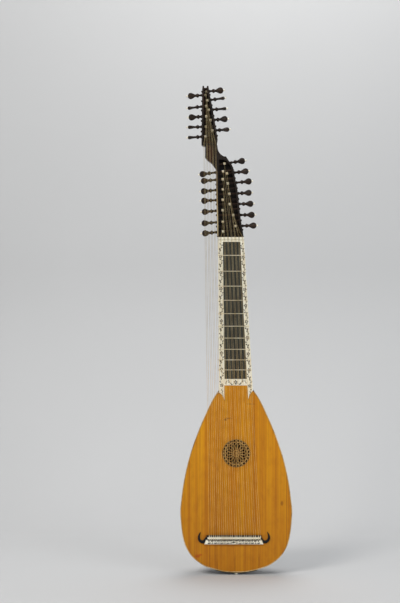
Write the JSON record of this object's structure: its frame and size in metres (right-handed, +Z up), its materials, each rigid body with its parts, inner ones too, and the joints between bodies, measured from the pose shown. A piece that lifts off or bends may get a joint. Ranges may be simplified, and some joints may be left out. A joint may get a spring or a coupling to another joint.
{
  "type": "theorbo",
  "caption": "Long-necked theorbo with two pegboxes, paired gut strings, tied sliding frets and a pierced rose.",
  "frame": {"origin": "middle of the end button's flat face, at the foot of the instrument", "axes": "+Z up along the neck, -Y out of the soundboard, +X towards the treble side"},
  "size_m": [0.3132, 0.1571, 1.3685],
  "materials": {
    "soundboard_spruce": "aged varnished spruce",
    "rib_wood": "dark polished hardwood",
    "head_wood": "dark stained hardwood",
    "peg_wood": "turned dark hardwood",
    "ebony": "satin ebony",
    "inner_softwood": "bare softwood",
    "ivory": "engraved pale inlay",
    "gut": "twisted gut"
  },
  "bodies": {
    "root": {"bowl_rib_1": "rib_wood", "bowl_rib_2": "rib_wood", "bowl_rib_3": "rib_wood", "bowl_rib_4": "rib_wood", "bowl_rib_5": "rib_wood", "bowl_rib_6": "rib_wood", "bowl_rib_7": "rib_wood", "bowl_rib_8": "rib_wood", "bowl_rib_9": "rib_wood", "end_clasp": "ebony", "end_button": "ivory", "neck": "head_wood", "neck_block": "inner_softwood", "fingerboard_border": "ivory", "fingerboard": "ebony", "soundboard": "soundboard_spruce", "edge_binding": "ivory", "bar_below_rose": "inner_softwood", "bar_above_rose": "inner_softwood", "nut": "ivory", "lower_pegbox": "head_wood", "upper_pegbox": "head_wood", "upper_nut": "ebony", "bridge": "ebony", "bridge_cap": "ivory", "strings": "gut"},
    "fret_1": {"fret_1": "gut"},
    "fret_2": {"fret_2": "gut"},
    "fret_3": {"fret_3": "gut"},
    "fret_4": {"fret_4": "gut"},
    "fret_5": {"fret_5": "gut"},
    "fret_6": {"fret_6": "gut"},
    "fret_7": {"fret_7": "gut"},
    "fret_8": {"fret_8": "gut"},
    "fret_9": {"fret_9": "gut"},
    "fret_10": {"fret_10": "gut"},
    "lower_bass_peg_1": {"lower_bass_peg_1": "peg_wood"},
    "lower_bass_peg_2": {"lower_bass_peg_2": "peg_wood"},
    "lower_bass_peg_3": {"lower_bass_peg_3": "peg_wood"},
    "lower_bass_peg_4": {"lower_bass_peg_4": "peg_wood"},
    "lower_bass_peg_5": {"lower_bass_peg_5": "peg_wood"},
    "lower_bass_peg_6": {"lower_bass_peg_6": "peg_wood"},
    "lower_bass_peg_7": {"lower_bass_peg_7": "peg_wood"},
    "lower_treble_peg_1": {"lower_treble_peg_1": "peg_wood"},
    "lower_treble_peg_2": {"lower_treble_peg_2": "peg_wood"},
    "lower_treble_peg_3": {"lower_treble_peg_3": "peg_wood"},
    "lower_treble_peg_4": {"lower_treble_peg_4": "peg_wood"},
    "lower_treble_peg_5": {"lower_treble_peg_5": "peg_wood"},
    "lower_treble_peg_6": {"lower_treble_peg_6": "peg_wood"},
    "lower_treble_peg_7": {"lower_treble_peg_7": "peg_wood"},
    "upper_bass_peg_1": {"upper_bass_peg_1": "peg_wood"},
    "upper_bass_peg_2": {"upper_bass_peg_2": "peg_wood"},
    "upper_bass_peg_3": {"upper_bass_peg_3": "peg_wood"},
    "upper_bass_peg_4": {"upper_bass_peg_4": "peg_wood"},
    "upper_bass_peg_5": {"upper_bass_peg_5": "peg_wood"},
    "upper_treble_peg_1": {"upper_treble_peg_1": "peg_wood"},
    "upper_treble_peg_2": {"upper_treble_peg_2": "peg_wood"},
    "upper_treble_peg_3": {"upper_treble_peg_3": "peg_wood"},
    "upper_treble_peg_4": {"upper_treble_peg_4": "peg_wood"},
    "upper_treble_peg_5": {"upper_treble_peg_5": "peg_wood"}
  },
  "joints": [
    {"name": "fret_1_slide", "type": "slide", "parent": "root", "child": "fret_1", "axis": [-0.0322, 0, 0.9995], "range_m": [-0.003, 0.003]},
    {"name": "fret_2_slide", "type": "slide", "parent": "root", "child": "fret_2", "axis": [-0.0322, 0, 0.9995], "range_m": [-0.003, 0.003]},
    {"name": "fret_3_slide", "type": "slide", "parent": "root", "child": "fret_3", "axis": [-0.0322, 0, 0.9995], "range_m": [-0.003, 0.003]},
    {"name": "fret_4_slide", "type": "slide", "parent": "root", "child": "fret_4", "axis": [-0.0322, 0, 0.9995], "range_m": [-0.003, 0.003]},
    {"name": "fret_5_slide", "type": "slide", "parent": "root", "child": "fret_5", "axis": [-0.0322, 0, 0.9995], "range_m": [-0.003, 0.003]},
    {"name": "fret_6_slide", "type": "slide", "parent": "root", "child": "fret_6", "axis": [-0.0322, 0, 0.9995], "range_m": [-0.003, 0.003]},
    {"name": "fret_7_slide", "type": "slide", "parent": "root", "child": "fret_7", "axis": [-0.0322, 0, 0.9995], "range_m": [-0.003, 0.003]},
    {"name": "fret_8_slide", "type": "slide", "parent": "root", "child": "fret_8", "axis": [-0.0322, 0, 0.9995], "range_m": [-0.003, 0.003]},
    {"name": "fret_9_slide", "type": "slide", "parent": "root", "child": "fret_9", "axis": [-0.0322, 0, 0.9995], "range_m": [-0.003, 0.003]},
    {"name": "fret_10_slide", "type": "slide", "parent": "root", "child": "fret_10", "axis": [-0.0322, 0, 0.9995], "range_m": [-0.003, 0.003]},
    {"name": "lower_bass_peg_1_turn", "type": "hinge", "parent": "root", "child": "lower_bass_peg_1", "pos_m": [-0.05451, 0.0047, 0.95927], "axis": [-0.9954, 0, -0.0958], "continuous": true},
    {"name": "lower_bass_peg_2_turn", "type": "hinge", "parent": "root", "child": "lower_bass_peg_2", "pos_m": [-0.05479, 0.0047, 0.98704], "axis": [-0.9969, 0, -0.0785], "continuous": true},
    {"name": "lower_bass_peg_3_turn", "type": "hinge", "parent": "root", "child": "lower_bass_peg_3", "pos_m": [-0.05524, 0.0047, 1.01941], "axis": [-0.9962, 0, -0.0872], "continuous": true},
    {"name": "lower_bass_peg_4_turn", "type": "hinge", "parent": "root", "child": "lower_bass_peg_4", "pos_m": [-0.05548, 0.0047, 1.04925], "axis": [-0.9986, 0, -0.0523], "continuous": true},
    {"name": "lower_bass_peg_5_turn", "type": "hinge", "parent": "root", "child": "lower_bass_peg_5", "pos_m": [-0.05602, 0.0047, 1.07749], "axis": [-0.9954, 0, -0.0958], "continuous": true},
    {"name": "lower_bass_peg_6_turn", "type": "hinge", "parent": "root", "child": "lower_bass_peg_6", "pos_m": [-0.05636, 0.0047, 1.10628], "axis": [-0.9962, 0, -0.0872], "continuous": true},
    {"name": "lower_bass_peg_7_turn", "type": "hinge", "parent": "root", "child": "lower_bass_peg_7", "pos_m": [-0.0568, 0.0047, 1.12705], "axis": [-0.9914, 0, -0.1305], "continuous": true},
    {"name": "lower_treble_peg_1_turn", "type": "hinge", "parent": "root", "child": "lower_treble_peg_1", "pos_m": [0.01675, 0.0047, 0.97708], "axis": [0.9997, 0, 0.0262], "continuous": true},
    {"name": "lower_treble_peg_2_turn", "type": "hinge", "parent": "root", "child": "lower_treble_peg_2", "pos_m": [0.01195, 0.0047, 1.00765], "axis": [1, 0, 0.0087], "continuous": true},
    {"name": "lower_treble_peg_3_turn", "type": "hinge", "parent": "root", "child": "lower_treble_peg_3", "pos_m": [0.00861, 0.0047, 1.0385], "axis": [0.9998, 0, 0.0175], "continuous": true},
    {"name": "lower_treble_peg_4_turn", "type": "hinge", "parent": "root", "child": "lower_treble_peg_4", "pos_m": [0.00526, 0.0047, 1.06832], "axis": [0.9986, 0, 0.0523], "continuous": true},
    {"name": "lower_treble_peg_5_turn", "type": "hinge", "parent": "root", "child": "lower_treble_peg_5", "pos_m": [0.00015, 0.0047, 1.09844], "axis": [0.9954, 0, 0.0958], "continuous": true},
    {"name": "lower_treble_peg_6_turn", "type": "hinge", "parent": "root", "child": "lower_treble_peg_6", "pos_m": [-0.00547, 0.0047, 1.12645], "axis": [0.9936, 0, 0.1132], "continuous": true},
    {"name": "lower_treble_peg_7_turn", "type": "hinge", "parent": "root", "child": "lower_treble_peg_7", "pos_m": [-0.01531, 0.0047, 1.15462], "axis": [0.9903, 0, 0.1392], "continuous": true},
    {"name": "upper_bass_peg_1_turn", "type": "hinge", "parent": "root", "child": "upper_bass_peg_1", "pos_m": [-0.09779, 0.0047, 1.22722], "axis": [-0.9976, 0, -0.0698], "continuous": true},
    {"name": "upper_bass_peg_2_turn", "type": "hinge", "parent": "root", "child": "upper_bass_peg_2", "pos_m": [-0.09733, 0.0047, 1.25504], "axis": [-0.9994, 0, -0.0349], "continuous": true},
    {"name": "upper_bass_peg_3_turn", "type": "hinge", "parent": "root", "child": "upper_bass_peg_3", "pos_m": [-0.09709, 0.0047, 1.28371], "axis": [-0.9976, 0, -0.0698], "continuous": true},
    {"name": "upper_bass_peg_4_turn", "type": "hinge", "parent": "root", "child": "upper_bass_peg_4", "pos_m": [-0.09692, 0.0047, 1.31195], "axis": [-0.9925, 0, -0.1219], "continuous": true},
    {"name": "upper_bass_peg_5_turn", "type": "hinge", "parent": "root", "child": "upper_bass_peg_5", "pos_m": [-0.09627, 0.0047, 1.3438], "axis": [-0.9976, 0, -0.0698], "continuous": true},
    {"name": "upper_treble_peg_1_turn", "type": "hinge", "parent": "root", "child": "upper_treble_peg_1", "pos_m": [-0.05536, 0.0047, 1.24531], "axis": [0.9969, 0, 0.0785], "continuous": true},
    {"name": "upper_treble_peg_2_turn", "type": "hinge", "parent": "root", "child": "upper_treble_peg_2", "pos_m": [-0.06017, 0.0047, 1.27471], "axis": [0.9969, 0, 0.0785], "continuous": true},
    {"name": "upper_treble_peg_3_turn", "type": "hinge", "parent": "root", "child": "upper_treble_peg_3", "pos_m": [-0.06526, 0.0047, 1.30351], "axis": [0.9969, 0, 0.0785], "continuous": true},
    {"name": "upper_treble_peg_4_turn", "type": "hinge", "parent": "root", "child": "upper_treble_peg_4", "pos_m": [-0.0706, 0.0047, 1.33073], "axis": [0.9903, 0, 0.1392], "continuous": true},
    {"name": "upper_treble_peg_5_turn", "type": "hinge", "parent": "root", "child": "upper_treble_peg_5", "pos_m": [-0.07487, 0.0047, 1.35513], "axis": [0.9976, 0, 0.0698], "continuous": true}
  ]
}
